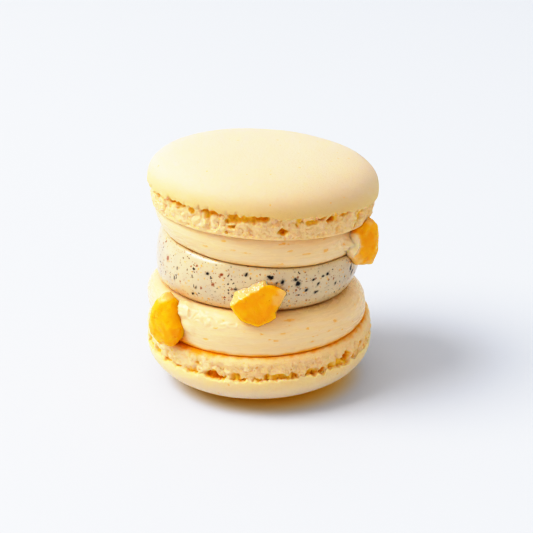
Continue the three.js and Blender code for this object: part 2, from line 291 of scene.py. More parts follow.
class MacaronColours(bpy.types.PropertyGroup):
    """Colours of the macaron and of the floor."""

    cap: colour_property("Cap", "Smooth cap of both shells", (0.825, 0.66, 0.475))
    # Painted shade: the top shell's cap near its lip.
    painted_lip_shading: colour_property("Painted lip shading", "Cap close to its edge", (0.785, 0.592, 0.295))
    # Painted light: the bottom shell's cap near its lip, lighter than the cap.
    painted_light_lower_cap: colour_property("Lower cap", "Cap of the bottom shell", (0.88, 0.69, 0.37))
    foot: colour_property("Foot", "Outer lumps of the feet", (1.0, 0.68, 0.40))
    # Painted shade: the two hollow colours deepen the feet in their hollows, pores and creases.
    foot_hollow_shade: colour_property("Foot hollow", "Hollows of the feet", (1.0, 0.60, 0.10))
    foot_deep_shade: colour_property("Foot deep", "Deepest hollows of the feet", (0.80, 0.36, 0.025))
    cream: colour_property("Cream", "Yellow creams", (0.875, 0.685, 0.445))
    zest: colour_property("Zest", "Streaks and flecks of zest", (0.88, 0.47, 0.04))
    ivory: colour_property("Ivory", "Body of the speckled cream", (0.73, 0.605, 0.405))
    speck: colour_property("Speck", "Darkest specks", (0.012, 0.008, 0.008))
    rust: colour_property("Rust", "Brown and rust specks", (0.38, 0.11, 0.03))
    peel: colour_property("Peel", "Candied peel", (1.0, 0.45, 0.002))
    pith: colour_property("Pith", "Pale, grainy side of the peel", (0.98, 0.60, 0.27))
    # Syrup colour, also used as painted crevice shade in the creams' seams and on the lower shell's
    # rim.
    syrup: colour_property("Syrup", "Syrup and butter in the seams", (0.90, 0.42, 0.012))
    floor: colour_property("Floor", "Studio floor", (0.715, 0.75, 0.83))
    # Painted light: the warm tint of the floor round the shell.
    painted_glow: colour_property("Glow", "Floor close to the shell", (1.0, 0.74, 0.24))


class MacaronStudio(bpy.types.PropertyGroup):
    """Camera and light."""

    elevation: number_property(
        "Elevation", "How far the camera looks down", math.radians(22), "ROTATION")
    distance: length_property("Distance", "From the camera to the middle of the view", 300)
    key: number_property("Key light", "Power of the large soft light at the left", 21.0, "POWER")
    top: number_property("Top light", "Power of the larger light overhead", 0.5, "POWER")
    zenith: number_property("Zenith", "Strength of the even light from above", 0.77)
    horizon: number_property("Horizon", "Strength of the even light from low down", 0.93)


def smooth_step(low, high, value):
    """0 below low, 1 above high and a smooth rise between them. low may be above high."""
    share = min(1.0, max(0.0, (value - low) / (high - low)))
    return share * share * (3 - 2 * share)


def mix(start, end, share):
    return start + (end - start) * share


def angle_between(first, second):
    return math.atan2(math.sin(first - second), math.cos(first - second))


def seat_height(seat, x, y):
    """The height of a plane between two layers over a point, in millimetres."""
    height, front, right = seat
    front = math.radians(front)
    right = math.radians(right)
    return height - math.tan(right) * x + math.tan(front) / math.cos(right) * y


def spun_skin(outline, segments):
    """A bmesh of an outline that starts and ends on the Z axis, turned all the way round."""
    skin = bmesh.new()
    points = [skin.verts.new((radius, 0, height)) for radius, height in outline]
    lines = [skin.edges.new(pair) for pair in zip(points, points[1:])]
    steps = segments // (RING_CUTS + 1)
    bmesh.ops.spin(
        skin, geom=points + lines, cent=(0, 0, 0), axis=(0, 0, 1), angle=math.tau,
        steps=steps, use_merge=True)
    bmesh.ops.remove_doubles(skin, verts=skin.verts, dist=1e-5)
    rings = [edge for edge in skin.edges if is_round(*edge.verts)]
    bmesh.ops.subdivide_edges(skin, edges=rings, cuts=RING_CUTS)
    chord = math.tau / steps
    for vertex in skin.verts:
        aside = math.atan2(vertex.co.y, vertex.co.x) % chord - chord / 2
        full = math.cos(aside) / math.cos(chord / 2)
        vertex.co.x *= full
        vertex.co.y *= full
    bmesh.ops.recalc_face_normals(skin, faces=skin.faces)
    skin.normal_update()
    return skin


def new_values(skin, *kinds):
    """A value for each vertex of a skin and each kind, which a material reads by its name."""
    return {kind: skin.verts.layers.float.new(kind) for kind in kinds}


def is_round(first, second):
    """Whether the edge between two vertices runs round the Z axis."""
    apart = math.hypot(first.co.x, first.co.y) - math.hypot(second.co.x, second.co.y)
    return abs(apart) < 1e-5 and abs(first.co.z - second.co.z) < 1e-5


def build_piece(scene, name, make_skin, make_material):
    """A piece in place of its CAD node: a smooth skin, which is drawn in millimetres."""
    skin = make_skin(name, scene.macaron_sizes)
    bmesh.ops.scale(skin, vec=(MM, MM, MM), verts=skin.verts)
    bmesh.ops.recalc_face_normals(skin, faces=skin.faces)
    mesh = bpy.data.meshes.new(name + "_skin")
    skin.to_mesh(mesh)
    skin.free()
    mesh.shade_smooth()
    mesh.materials.append(make_material(name, scene.macaron_colours))
    piece = bpy.data.objects.new(name + "_skin", mesh)
    scene.collection.objects.link(piece)
    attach(piece, "root")
    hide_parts(name)


def shell_outline(shell, cap_radius, dome, foot):
    """The outline from the middle of the cream side, round the foot, to the top of the dome."""
    rim = shell["rim_round"]
    foot_radius = shell["foot_radius"]
    points = [(0.0, 0.0)]
    points += [(foot_radius - rim - inset, 0.0) for inset in (4.0, 2.0, 1.2, 0.8, 0.4)]
    for i in range(RIM_RINGS):
        turn = math.pi / 2 * i / RIM_RINGS
        points.append((foot_radius - rim * (1 - math.sin(turn)), rim * (1 - math.cos(turn))))
    lip = foot - LIP_DROP
    for i in range(FOOT_RINGS + 1):
        share = i / FOOT_RINGS
        points.append((mix(foot_radius, shell["waist_radius"], share), mix(rim, lip, share)))
    points += [
        (shell["waist_radius"] + 0.12, lip + 0.1), (cap_radius - 0.28, lip + 0.14),
        (cap_radius - 0.12, lip + 0.17), (cap_radius - 0.03, lip + 0.25),
    ]
    for i in range(DOME_RINGS):
        tilt = math.pi / 2 * (1 - i / DOME_RINGS)
        points.append((
            cap_radius * math.sin(tilt) ** (2 / shell["dome_power"]),
            foot + dome * math.cos(tilt) ** (2 / shell["dome_power"]),
        ))
    points.append((0.0, foot + dome))
    return points


def billow(point):
    """Round lumps between sharp creases: 0 in a crease, 1 on a lump."""
    return min(1.0, abs(noise.noise(point)) * 2.6) ** 0.8


def pore(point):
    """A round pore in some of the cells about a point: 0 outside it, 1 in its middle."""
    distances, centres = noise.voronoi(point)
    chance = noise.cell(centres[0] * 7.3)
    radius = PORE_SPREAD * abs(chance)
    if radius < 0.08:
        return 0.0
    return smooth_step(radius, radius * 0.35, distances[0])


def notch(angle, shell):
    """How far the ragged row of small hollows under the cap is open in a direction, from 0 to 1."""
    along = noise.noise(Vector((math.cos(angle) * 14, math.sin(angle) * 14, shell["seed"])))
    return smooth_step(-0.1, 0.35, along)


def lip_rise(point, angle, shell, hollows, foot):
    """How far the lip of the cap moves up at a point: it is torn, most of all over the hollows."""
    seed = Vector((0.0, shell["seed"], 0.0))
    torn = notch(angle, shell) * 0.5
    for at, height, across, _, depth in hollows:
        if height > foot - 1.4:
            aside = angle_between(angle, math.radians(at)) * shell["foot_radius"] / across
            torn = max(torn, depth * smooth_step(1.2, 0.5, abs(aside)))
    teeth = noise.noise(point / 0.8 + seed) * 0.4 + noise.noise(point / 0.42 + seed) * 0.22
    return torn * 0.4 + teeth


def foot_relief(point, shell, hollows, foot, sizes):
    """How far a foot's wall moves out at a point, and how deep a hollow it lies in, which the
    material paints as shade.
    """
    seed = Vector((shell["seed"], 0.0, shell["seed"] * 3))
    angle = math.atan2(point.y, point.x)
    warp = noise.noise_vector(point / 1.3 + seed)
    ragged = noise.noise(point / 0.55 + seed)
    place = Vector((point.x / LUMP_WIDTH, point.y / LUMP_WIDTH, point.z / LUMP_HEIGHT))
    lumps = billow(place + warp * 0.3 + seed)
    crags = noise.fractal(point / CRAG_SIZE + seed, 1.0, 2.0, 3)
    pores = pore((point + warp * 0.3) / PORE_CELL + seed)
    pits = pore((point + warp * 0.2) / PIT_CELL + seed)
    sunk = 0.0
    for at, height, across, up, depth in hollows:
        aside = angle_between(angle, math.radians(at)) * shell["foot_radius"] / across
        if abs(aside) > 2:
            continue
        above = (point.z - height) / up
        reach = math.hypot(aside + warp.x * 0.5, above + warp.z * 0.6) + ragged * 0.35
        sunk = max(sunk, 0.75 * depth * smooth_step(1.15, 0.55, reach))
    row = smooth_step(foot - 1.7, foot - 0.9, point.z + warp.z * 0.7)
    sunk = max(sunk, notch(angle, shell) * row * 0.6)
    # Painted shade in the hollows, pores, pits and creases.
    hollow = max(sunk, pores * 0.5, pits * 0.35, (1 - lumps) ** 3 * 0.25)
    out = (
        sizes.lump_depth / MM * (lumps - 0.7) + sizes.crag_depth / MM * crags
        - sizes.pore_depth / MM * max(pores * 0.9, pits * 0.6) - sunk
    )
    return out, hollow


def shell_syrup_and_crevice_shade(shell, point, radius):
    """How far a point of a shell is painted syrup orange, from 0 to 1: painted crevice shade on the
    rim next to the cream, reaching further where syrup has run.
    """
    if not shell["turned_over"]:
        return 0.0
    angle = math.degrees(math.atan2(point.y, point.x))
    syrup = smooth_step(SYRUP_WIDTH, 8, abs(angle - SYRUP_ANGLE))
    ragged = noise.noise(point / CRAG_SIZE) * 0.5
    reach = CREVICE_SHADE_REACH + syrup * 0.5 + ragged
    if point.z < shell["rim_round"] + 0.3 * syrup:
        return smooth_step(reach, reach - 1.2, radius)
    return 0.0


def shell_skin(name, sizes):
    """The skin of a shell in the model's frame, with the values that its colours follow."""
    shell = SHELLS[name]
    cap_radius = sizes.cap_radius / MM
    dome = (sizes.bottom_dome if shell["turned_over"] else sizes.top_dome) / MM
    foot = (sizes.bottom_foot if shell["turned_over"] else sizes.top_foot) / MM
    noise.seed_set(WARP_SEED)
    skin = spun_skin(shell_outline(shell, cap_radius, dome, foot), SHELL_SEGMENTS)
    values = new_values(skin, "foot", "hollow", "stain", "painted_lip_shading")
    seed = Vector((0.0, shell["seed"], 0.0))
    lip = foot - LIP_DROP
    slope = math.tan(math.radians(shell["slope"]))
    hollows = HOLLOWS[name]
    rim_start = shell["foot_radius"] - shell["rim_round"] * 0.8
    for vertex in skin.verts:
        point = vertex.co.copy()
        radius = math.hypot(point.x, point.y)
        wall = smooth_step(rim_start, shell["foot_radius"], radius)
        on_foot = point.z <= lip + LEDGE
        from_lip = abs(point.z - lip - LIP_MIDDLE)
        if on_foot and wall > 0:
            out, hollow = foot_relief(point, shell, hollows, foot, sizes)
            calm = wall * smooth_step(0.0, shell["calm"], point.z)
            vertex.co += Vector((point.x, point.y, 0)) / radius * out * calm
            # How deep a hollow the point lies in, for the foot's painted shade.
            vertex[values["hollow"]] = hollow * mix(0.35, 1.0, calm)
        if radius > cap_radius - 1 and from_lip < LIP_REACH:
            angle = math.atan2(point.y, point.x)
            torn = lip_rise(point, angle, shell, hollows, foot)
            vertex.co.z += smooth_step(LIP_REACH, 0.1, from_lip) * torn
        if not on_foot:
            swell = noise.noise(point / CAP_WAVE + seed) * 0.07
            swell += noise.noise(point / CAP_RIPPLE + seed) * 0.015 - CAP_INSET
            vertex.co += vertex.normal * swell
        vertex[values["foot"]] = 1.0 if on_foot else 0.0
        # Painted crevice shade on the rim next to the cream, and syrup where it has run.
        vertex[values["stain"]] = shell_syrup_and_crevice_shade(shell, point, radius)
        # The cap near its lip: painted shade on the top shell, painted light on the bottom shell.
        vertex[values["painted_lip_shading"]] = smooth_step(5.0, 0.0, point.z - lip) * shell["painted_lip_shading"]
        vertex.co.z += slope * point.y * max(0.0, 1 - point.z / foot)
    front, right = (math.radians(tilt) for tilt in shell["tilt"])
    turn = math.pi if shell["turned_over"] else 0.0
    place = (
        Matrix.Translation((shell["shift"], 0, shell["height"]))
        @ Matrix.Rotation(right, 4, "Y") @ Matrix.Rotation(front + turn, 4, "X")
    )
    bmesh.ops.transform(skin, matrix=place, verts=skin.verts)
    for vertex in skin.verts:
        vertex.co.z = max(vertex.co.z, 0.0)
    return skin


def cream_outline(cream):
    """The outline of a cream, with its height as a share from 0 at the lower seat to 1."""
    low, wide, high = cream["radii"]
    points = [(0.0, 0.0)]
    for i in range(CREAM_RINGS):
        slope = math.pi * (i / (CREAM_RINGS - 1) - 0.5)
        inner = low if slope < 0 else high
        reach = cream["wide_at"] if slope < 0 else 1 - cream["wide_at"]
        bulge = max(0.0, math.cos(slope)) ** (2 / BULGE_POWER)
        points.append((mix(inner, wide, bulge), cream["wide_at"] + reach * math.sin(slope)))
    points.append((0.0, 1.0))
    return points


def strongest_mark(marks, angle, height, thickness, radius, ragged):
    """How much of a point is covered by the marks at an angle and height, from 0 to 1."""
    strongest = 0.0
    for at, share, across, up in marks:
        above = (height - share * thickness) / up
        if abs(above) > 2.5:
            continue
        aside = angle_between(angle, math.radians(at)) * radius / across
        reach = math.hypot(aside, above) + ragged
        stain = 0.3 * smooth_step(2.2, 0.9, reach)
        strongest = max(strongest, stain, smooth_step(1.2, 0.8, reach))
    return strongest


def cream_swell(cream, share, spot, sizes):
    """The slow waves of a cream's side and the drag marks round it, as a distance outwards."""
    seed = Vector((cream["seed"], 0.0, 0.0))
    swell = sizes.cream_wave / MM
    broad = Vector((spot.x / CREAM_WAVE, spot.y / CREAM_WAVE, share))
    small = Vector((spot.x / CREAM_RIPPLE, spot.y / CREAM_RIPPLE, share * 2))
    wave = noise.noise(broad + seed) * swell
    wave += noise.noise(small + seed) * swell * 0.25
    drag = noise.noise(Vector((spot.x / 6, spot.y / 6, share * 14)) + seed)
    return wave + drag * sizes.cream_drag / MM


def cream_folds(cream, angle, share, thickness, spot):
    """How far the crumpled patches and squeezed lips of a cream stand out from its skin."""
    seed = Vector((cream["seed"], 0.0, 0.0))
    warp = noise.noise(Vector((spot.x / 1.8, spot.y / 1.8, share * thickness / 1.8)) + seed)
    out = 0.0
    for at, level, half_width, half_height, depth in cream["ruffles"]:
        aside = math.degrees(angle_between(angle, math.radians(at))) / half_width
        reach = math.hypot(aside, (share - level) / half_height)
        if reach < 1.2:
            place = Vector((spot.x / 1.5, spot.y / 1.5, share * thickness / 0.6 + warp * 2.0))
            ridge = 1 - min(1.0, abs(noise.noise(place + seed)) * 3)
            out += ridge * depth * smooth_step(1.2, 0.6, reach)
    for at, level, across, up, far in cream["lips"]:
        aside = angle_between(angle, math.radians(at)) * cream["radii"][1] / across
        above = (share - level) * thickness / up
        out += far * smooth_step(1.5, 0.4, math.hypot(aside, above) + warp * 0.6)
    return out


def cream_skin(name, sizes):
    """The skin of a cream in the model's frame, between its two seats."""
    cream = CREAMS[name]
    layer = list(CREAMS).index(name)
    lower, upper = SEATS[layer], SEATS[layer + 1]
    seed = Vector((cream["seed"], 5.0, 0.0))
    low, wide, high = cream["radii"]
    wide_at = cream["wide_at"]
    syrup_at, syrup_width, syrup_top = cream["syrup"]
    skin = spun_skin(cream_outline(cream), CREAM_SEGMENTS)
    values = new_values(skin, "zest", "dark", "syrup", "painted_crevice_shade")
    for vertex in skin.verts:
        share = vertex.co.z
        x, y = vertex.co.x, vertex.co.y
        radius = math.hypot(x, y)
        angle = math.atan2(y, x)
        thickness = seat_height(upper, x, y) - seat_height(lower, x, y)
        rise = 0.0
        if radius > 10:
            lean = (share - wide_at) / (wide_at if share < wide_at else 1 - wide_at)
            fold = cream_folds(cream, angle, share, thickness, vertex.co)
            fold *= smooth_step(high - 0.5, high + 1, radius)
            rise = fold * lean
            wave = smooth_step(10, 15, radius) * cream_swell(cream, share, vertex.co, sizes)
            wave += fold * math.sqrt(max(0.0, 1 - lean * lean))
            x *= 1 + wave / wide
            y *= 1 + wave / wide
            height = share * thickness
            spot = Vector((x, y, height))
            ragged = noise.noise(spot / 0.4 + seed) * 0.6 + noise.noise(spot / 0.15 + seed) * 0.4
            for kind in ("zest", "dark"):
                vertex[values[kind]] = strongest_mark(
                    cream[kind], angle, height, thickness, wide, ragged)
            # Painted crevice shade where the cream curves under to its lower seat.
            if share < wide_at:
                inside = (wide - radius) / (wide - low) + noise.noise(spot / 2 + seed) * 0.2
                vertex[values["painted_crevice_shade"]] = smooth_step(0.25, 0.7, inside) * cream["painted_crevice_shade"]
            if syrup_width:
                aside = math.degrees(angle_between(angle, math.radians(syrup_at))) / syrup_width
                reach = math.hypot(aside, share / syrup_top) + ragged * 0.1
                vertex[values["syrup"]] = smooth_step(1.2, 0.3, reach)
        x += mix(cream["shifts"][0], cream["shifts"][1], share)
        vertex.co = (x, y, mix(seat_height(lower, x, y), seat_height(upper, x, y), share) + rise)
    return skin


def outline_radius(outline, degrees):
    """The radius of an outline in a direction: where a ray from the middle meets its side."""
    after = next((i for i, corner in enumerate(outline) if corner[0] > degrees), 0)
    (start, near), (end, far) = outline[after - 1], outline[after]
    onward = math.sin(math.radians(degrees - start))
    remaining = math.sin(math.radians(end - degrees))
    return near * far * math.sin(math.radians(end - start)) / (near * onward + far * remaining)


def worn_radius(outline, degrees):
    """The radius of an outline whose corners are a little worn."""
    aside = [outline_radius(outline, (degrees + turn) % 360) for turn in (-4, -2, 0, 2, 4)]
    return sum(aside) / len(aside)


def peel_outline(power):
    """Half the section of a die: its half width and depth, each as a share of 1."""
    points = [(0.0, -1.0)]
    for i in range(1, PEEL_RINGS):
        turn = math.pi * (0.5 - i / PEEL_RINGS)
        level = math.copysign(abs(math.sin(turn)) ** (2 / power), turn)
        points.append((math.cos(turn) ** (2 / power), -level))
    points.append((0.0, 1.0))
    return points


def peel_skin(name, sizes):
    """The skin of a die of peel in its place, with values for its sugary and its pale parts."""
    peel = PEELS[name]
    seed = Vector((peel["seed"], 0.0, 0.0))
    radii = [worn_radius(peel["outline"], i * 360 / PEEL_SEGMENTS) for i in range(PEEL_SEGMENTS)]
    fold_angle, fold_distance, slope_above, slope_below = peel["fold"]
    fold_angle = math.radians(fold_angle)
    folded = slope_above > 0
    skin = spun_skin(peel_outline(peel["power"]), PEEL_SEGMENTS)
    values = new_values(skin, "sugar", "pale", "smear")
    for vertex in skin.verts:
        degrees = math.degrees(math.atan2(vertex.co.y, vertex.co.x)) % 360
        reach = radii[round(degrees * PEEL_SEGMENTS / 360) % PEEL_SEGMENTS]
        x, y, z = vertex.co.x * reach, vertex.co.z, vertex.co.y * reach
        flat = Vector((x, y * peel["depth"] / 2, z))
        wave = noise.noise(flat / PEEL_WAVE + seed) + noise.noise(flat / PEEL_DENT + seed) * 0.5
        above = z * math.cos(fold_angle) - x * math.sin(fold_angle) - fold_distance
        ragged = noise.noise(flat / 0.9 + seed) * 0.5
        sugar = smooth_step(-0.25, 0.3, above + ragged) if folded else 0.0
        pale = 0.0
        for across, up, spread, strength in peel["pale"]:
            away = math.hypot(x - across, z - up) / spread + ragged * 0.6
            pale = max(pale, strength * smooth_step(1.25, 0.6, away))
        smear, raised = 0.0, 0.0
        for across, up, half_width, half_height, out in peel["smears"] if y < 0 else ():
            away = math.hypot((x - across) / half_width, (z - up) / half_height) + ragged * 0.3
            smear = max(smear, smooth_step(1.3, 0.9, away))
            raised = max(raised, out * smooth_step(1.2, 0.5, away))
        back = above * slope_above if above > 0 else -above * slope_below
        back *= max(0.0, -y) if folded else 0.0
        grains = noise.noise(flat / SUGAR_GRAIN + seed) * (0.02 + 0.1 * sugar)
        dent = wave * sizes.peel_wave / MM
        grow = 1 + (dent * 0.35 + grains) / reach
        y = y * (peel["depth"] / 2 + dent + grains + raised) + back
        vertex.co = (x * grow, y, z * grow)
        vertex[values["sugar"]] = sugar
        vertex[values["pale"]] = pale
        vertex[values["smear"]] = smear
    place = (
        Matrix.Translation(peel["centre"]) @ Matrix.Rotation(math.radians(peel["turn"]), 4, "Z")
        @ Matrix.Rotation(math.radians(peel["lean"]), 4, "X")
    )
    bmesh.ops.transform(skin, matrix=place, verts=skin.verts)
    return skin


def feed(tree, node, **inputs):
    """Sets or links the inputs of a node by name, or by number as i0."""
    for key, value in inputs.items():
        numbered = key[0] == "i" and key[1:].isdigit()
        socket = node.inputs[int(key[1:]) if numbered else key.replace("_", " ")]
        if isinstance(value, bpy.types.NodeSocket):
            tree.links.new(value, socket)
        else:
            socket.default_value = value


def add_node(tree, kind, settings=None, **inputs):
    node = tree.nodes.new(kind)
    for key, value in (settings or {}).items():
        setattr(node, key, value)
    feed(tree, node, **inputs)
    return node


def add_vector_node(tree, operation, **inputs):
    return add_node(tree, "ShaderNodeVectorMath", {"operation": operation}, **inputs).outputs[0]


def calculate(tree, operation, first, second=0.0, third=0.0, clamp=False):
    return add_node(
        tree, "ShaderNodeMath", {"operation": operation, "use_clamp": clamp},
        i0=first, i1=second, i2=third).outputs[0]


def product(tree, first, second):
    return calculate(tree, "MULTIPLY", first, second)


def mix_colours(tree, share, first, second):
    """A mix of two colours, each a socket or three numbers."""
    first, second = (
        colour if isinstance(colour, bpy.types.NodeSocket) else (*colour, 1.0)
        for colour in (first, second))
    return add_node(
        tree, "ShaderNodeMix", {"data_type": "RGBA"}, i0=share, i6=first, i7=second).outputs[2]


def step_between(tree, value, low, high):
    """A smooth rise from 0 at low to 1 at high."""
    return add_node(
        tree, "ShaderNodeMapRange", {"interpolation_type": "SMOOTHSTEP"},
        i0=value, i1=low, i2=high, i3=0.0, i4=1.0).outputs[0]


def tinted(colour, tint):
    """A colour with each of its parts times a tint's."""
    return tuple(part * share for part, share in zip(colour, tint))


def effect_group(name, outputs, **inputs):
    """A shader node group with a vector, named values with defaults, and values that it gives."""
    group = bpy.data.node_groups.new(name, "ShaderNodeTree")
    sockets = group.interface
    sockets.new_socket("Vector", in_out="INPUT", socket_type="NodeSocketVector")
    for key, default in inputs.items():
        label = key.replace("_", " ")
        socket = sockets.new_socket(label, in_out="INPUT", socket_type="NodeSocketFloat")
        socket.default_value = default
    for label in outputs:
        sockets.new_socket(label, in_out="OUTPUT", socket_type="NodeSocketFloat")
    start = group.nodes.new("NodeGroupInput")
    end = group.nodes.new("NodeGroupOutput")
    return group, start.outputs, end.inputs


def specks_group():
    """Scattered ragged specks, as a mask."""
    group, given, result = effect_group(
        "Specks", ["Mask"], Cell=1.0 * MM, Size=0.3, Share=0.5, Ragged=0.2, Seed=0.0)
    per_cell = calculate(group, "DIVIDE", 1.0, given["Cell"])
    scaled = add_vector_node(group, "SCALE", Vector=given["Vector"], Scale=per_cell)
    moved = add_vector_node(group, "ADD", i0=scaled, i1=given["Seed"])
    warp = add_node(group, "ShaderNodeTexNoise", Vector=moved, Scale=2.6, Detail=2.0)
    centred = add_vector_node(group, "SUBTRACT", i0=warp.outputs["Color"], i1=(0.5, 0.5, 0.5))
    shift = add_vector_node(group, "SCALE", Vector=centred, Scale=given["Ragged"])
    place = add_vector_node(group, "ADD", i0=moved, i1=shift)
    cells = add_node(group, "ShaderNodeTexVoronoi", {"feature": "F1"}, Vector=place, Scale=1.0)
    chance = add_node(group, "ShaderNodeSeparateColor", Color=cells.outputs["Color"])
    spread = calculate(group, "ADD", chance.outputs[1], 0.25)
    reach = product(group, given["Size"], spread)
    core = product(group, reach, 0.6)
    inside = step_between(group, cells.outputs["Distance"], reach, core)
    there = calculate(group, "LESS_THAN", chance.outputs[0], given["Share"])
    group.links.new(product(group, inside, there), result["Mask"])
    return group


def grain_group():
    """Fine grain as a height, with a slow variation from place to place."""
    group, given, result = effect_group(
        "Grain", ["Height", "Patch"], Grain_size=0.25 * MM, Patch_size=6 * MM)
    for label, output in (("Grain size", "Height"), ("Patch size", "Patch")):
        scale = calculate(group, "DIVIDE", 1.0, given[label])
        texture = add_node(
            group, "ShaderNodeTexNoise", Vector=given["Vector"], Scale=scale, Detail=3.0)
        group.links.new(texture.outputs["Fac"], result[output])
    return group


def drag_group():
    """Marks dragged round the Z axis: long level streaks."""
    group, given, result = effect_group(
        "Drag marks", ["Streaks"], Length=6 * MM, Width=0.5 * MM)
    along = calculate(group, "DIVIDE", 1.0, given["Length"])
    across = calculate(group, "DIVIDE", 1.0, given["Width"])
    scales = add_node(group, "ShaderNodeCombineXYZ", X=along, Y=along, Z=across)
    stretched = add_vector_node(group, "MULTIPLY", i0=given["Vector"], i1=scales.outputs[0])
    texture = add_node(group, "ShaderNodeTexNoise", Vector=stretched, Scale=1.0, Detail=3.0)
    group.links.new(texture.outputs["Fac"], result["Streaks"])
    return group


def placed_group(tree, name, **inputs):
    """A node with one of the three groups, which is made when it is first asked for."""
    makers = {"Specks": specks_group, "Grain": grain_group, "Drag marks": drag_group}
    group = bpy.data.node_groups.get(name) or makers[name]()
    return add_node(tree, "ShaderNodeGroup", {"node_tree": group}, **inputs)


def new_material(name, roughness, scatter, radius, coat=0.0):
    """A material with a Principled BSDF whose light sinks in by the given radii, in metres."""
    material = bpy.data.materials.new(name)
    material.use_nodes = True
    tree = material.node_tree
    shader = tree.nodes["Principled BSDF"]
    feed(
        tree, shader, Roughness=roughness, Subsurface_Weight=scatter, Subsurface_Radius=radius,
        Subsurface_Scale=1.0, Coat_Weight=coat, IOR=1.45)
    place = add_node(tree, "ShaderNodeTexCoord").outputs["Object"]
    return material, tree, shader, place


def add_bump(tree, shader, height, distance):
    bump = add_node(tree, "ShaderNodeBump", Height=height, Distance=distance, Strength=1.0)
    feed(tree, shader, Normal=bump.outputs[0])


def attribute(tree, name):
    return add_node(tree, "ShaderNodeAttribute", {"attribute_name": name}).outputs["Fac"]


def shell_material(name, colours):
    """A dry matt cap, with painted shade near the top shell's lip and painted light near the bottom
    shell's lip, and a foot whose colour deepens in its hollows and pores as painted shade.
    """
    material, tree, shader, place = new_material(name, 0.65, 1.0, (0.6 * MM, 0.48 * MM, 0.25 * MM))
    foot = attribute(tree, "foot")
    hollow = attribute(tree, "hollow")
    crumb = placed_group(tree, "Grain", Vector=place, Grain_size=0.22 * MM, Patch_size=1.1 * MM)
    broad = placed_group(tree, "Grain", Vector=place, Grain_size=0.5 * MM, Patch_size=9 * MM)
    dots = placed_group(
        tree, "Specks", Vector=place, Cell=1.9 * MM, Size=0.16, Share=0.35, Ragged=0.3, Seed=3.1)
    cap = mix_colours(
        tree, broad.outputs["Patch"], colours.cap, tinted(colours.cap, (0.985, 0.985, 0.985)))
    # Painted shade near the top shell's lip and painted light near the bottom shell's lip.
    edge = colours.painted_light_lower_cap if SHELLS[name]["turned_over"] else colours.painted_lip_shading
    cap = mix_colours(tree, attribute(tree, "painted_lip_shading"), cap, edge)
    dotted = product(tree, dots.outputs["Mask"], 0.45)
    cap = mix_colours(tree, dotted, cap, colours.zest)
    mottle_and_pore_shade = step_between(tree, crumb.outputs["Patch"], 0.42, 0.66)
    # Small spots of painted pore shade on the foot, mixed with the random crumb mottle.
    pore_shade_specks = placed_group(
        tree, "Specks", Vector=place, Cell=0.75 * MM, Size=0.3, Share=0.5, Ragged=0.5, Seed=7.7)
    mottle_and_pore_shade = product(tree, mottle_and_pore_shade, 0.3)
    mottle_and_pore_shade = calculate(tree, "MAXIMUM", mottle_and_pore_shade, pore_shade_specks.outputs["Mask"])
    deep = calculate(tree, "MAXIMUM", hollow, product(tree, mottle_and_pore_shade, 0.35))
    # The foot's colour deepens with its hollows as painted shade, and with the random mottle.
    ramp = add_node(tree, "ShaderNodeValToRGB", Fac=deep)
    stops = (
        (0.0, colours.foot), (0.12, colours.foot),
        (0.55, colours.foot_hollow_shade), (1.0, colours.foot_deep_shade),
    )
    while len(ramp.color_ramp.elements) < len(stops):
        ramp.color_ramp.elements.new(0.5)
    for element, (position, colour) in zip(ramp.color_ramp.elements, stops):
        element.position = position
        element.color = (*colour, 1.0)
    colour = mix_colours(tree, foot, cap, ramp.outputs["Color"])
    # The rim next to the cream: painted crevice shade, and syrup where it has run.
    colour = mix_colours(tree, attribute(tree, "stain"), colour, colours.syrup)
    feed(tree, shader, Base_Color=colour)
    relief = calculate(tree, "MULTIPLY_ADD", foot, 2.5, 1.5)
    coarse = product(tree, broad.outputs["Height"], 1.6)
    height = calculate(tree, "MULTIPLY_ADD", crumb.outputs["Height"], relief, coarse)
    add_bump(tree, shader, height, 0.06 * MM)
    return material


def cream_material(name, colours):
    """Smooth buttery cream with dragged streaks, flecks of zest and a patch of syrup, painted syrup
    orange where it curves under to the layer below as painted crevice shade.
    """
    material, tree, shader, place = new_material(name, 0.4, 0.6, (1.2 * MM, 0.95 * MM, 0.5 * MM))
    marks = placed_group(tree, "Drag marks", Vector=place, Length=5 * MM, Width=0.55 * MM)
    per_fleck = (1 / (FLECK_LENGTH * MM), 1 / (FLECK_LENGTH * MM), 1 / (FLECK_WIDTH * MM))
    stretched = add_vector_node(tree, "MULTIPLY", i0=place, i1=per_fleck)
    flecks = placed_group(
        tree, "Specks", Vector=stretched, Cell=0.8, Size=0.42, Share=0.1, Ragged=0.9, Seed=1.7)
    patches = placed_group(tree, "Grain", Vector=place, Grain_size=0.4 * MM, Patch_size=5 * MM)
    crowd = step_between(tree, patches.outputs["Patch"], 0.4, 0.6)
    zest = product(tree, flecks.outputs["Mask"], crowd)
    tone = mix_colours(
        tree, step_between(tree, marks.outputs["Streaks"], 0.35, 0.7),
        colours.cream, tinted(colours.cream, (0.985, 0.96, 0.88)))
    zest = calculate(tree, "MAXIMUM", zest, attribute(tree, "zest"))
    colour = mix_colours(tree, product(tree, zest, 0.6), tone, colours.zest)
    # Painted crevice shade in syrup orange where the cream curves under.
    painted_crevice_shade = product(tree, attribute(tree, "painted_crevice_shade"), 0.9)
    colour = mix_colours(tree, painted_crevice_shade, colour, colours.syrup)
    colour = mix_colours(tree, attribute(tree, "syrup"), colour, colours.syrup)
    rough = add_node(
        tree, "ShaderNodeMapRange", i0=marks.outputs["Streaks"], i1=0.3, i2=0.7, i3=0.18, i4=0.34)
    feed(tree, shader, Base_Color=colour, Roughness=rough.outputs[0])
    add_bump(tree, shader, marks.outputs["Streaks"], 0.03 * MM)
    return material


